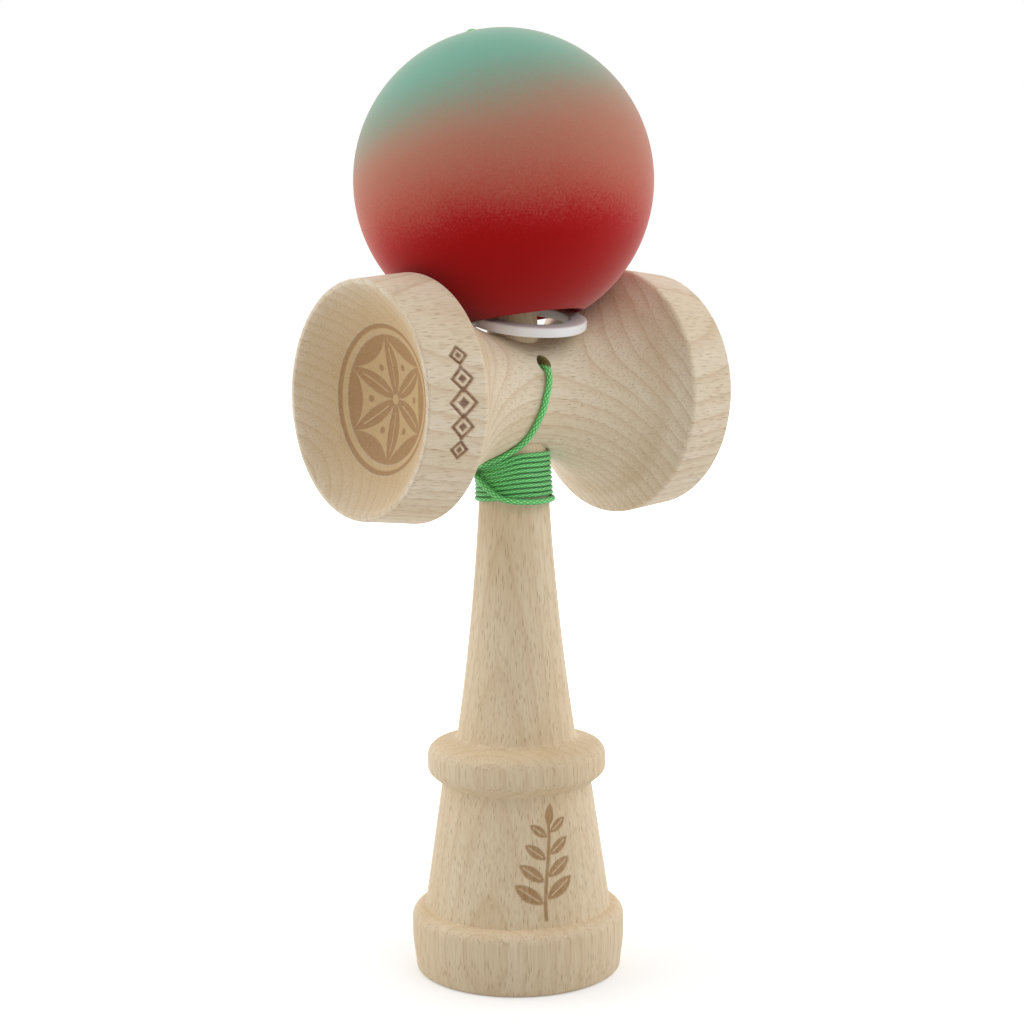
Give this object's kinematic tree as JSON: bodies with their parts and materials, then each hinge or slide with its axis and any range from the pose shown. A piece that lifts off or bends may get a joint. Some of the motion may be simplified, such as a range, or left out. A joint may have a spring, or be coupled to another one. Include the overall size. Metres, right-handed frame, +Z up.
{
  "type": "kendama",
  "caption": "Wooden skill toy: a turned handle with a cross piece of two cups, a bored ball resting on the spike, a loose ring, and a cord wound on the handle and tied into the ball.",
  "frame": {"origin": "on the handle's axis, at the level of the base rim that the toy stands on", "axes": "+Z up the handle to the spike, +X along the cross piece to the big cup, -Y to the side with the cord's hole"},
  "size_m": [0.0754, 0.0618, 0.1907],
  "materials": {
    "handle_wood": "turned beech, fine sanded, bare",
    "ball_paint": "turned wood under matt rubbery paint, green over tan over red",
    "ring_plastic": "white moulded plastic",
    "bead_wood": "plain turned bead",
    "cord_nylon": "bright green braided cord"
  },
  "bodies": {
    "ken_body": {"ken": "handle_wood", "sarado": "handle_wood", "anchor_knot": "cord_nylon", "string_anchor": "cord_nylon", "string_lead": "cord_nylon", "string_winding": "cord_nylon", "string_riser": "cord_nylon"},
    "bead_body": {"string_bead": "bead_wood", "bead_knot": "cord_nylon", "string_crown": "cord_nylon", "string_tail": "cord_nylon"},
    "tama_body": {"tama": "ball_paint"},
    "ring_body": {"spacer_ring": "ring_plastic"}
  },
  "joints": [
    {"name": "ball_lift", "type": "slide", "parent": "ken_body", "child": "bead_body", "axis": [-0.055, 0.1316, 0.9898], "range_m": [0, 0.04], "deforming": ["string_riser"]},
    {"name": "ball_spin", "type": "hinge", "parent": "bead_body", "child": "tama_body", "pos_m": [0.0002, 0.0026, 0.15986], "axis": [-0.055, 0.1316, 0.9898], "continuous": true},
    {"name": "ring_spin", "type": "hinge", "parent": "ken_body", "child": "ring_body", "pos_m": [0.00184, -0.0023, 0.13254], "axis": [-0.0637, -0.225, 0.9723], "continuous": true}
  ]
}
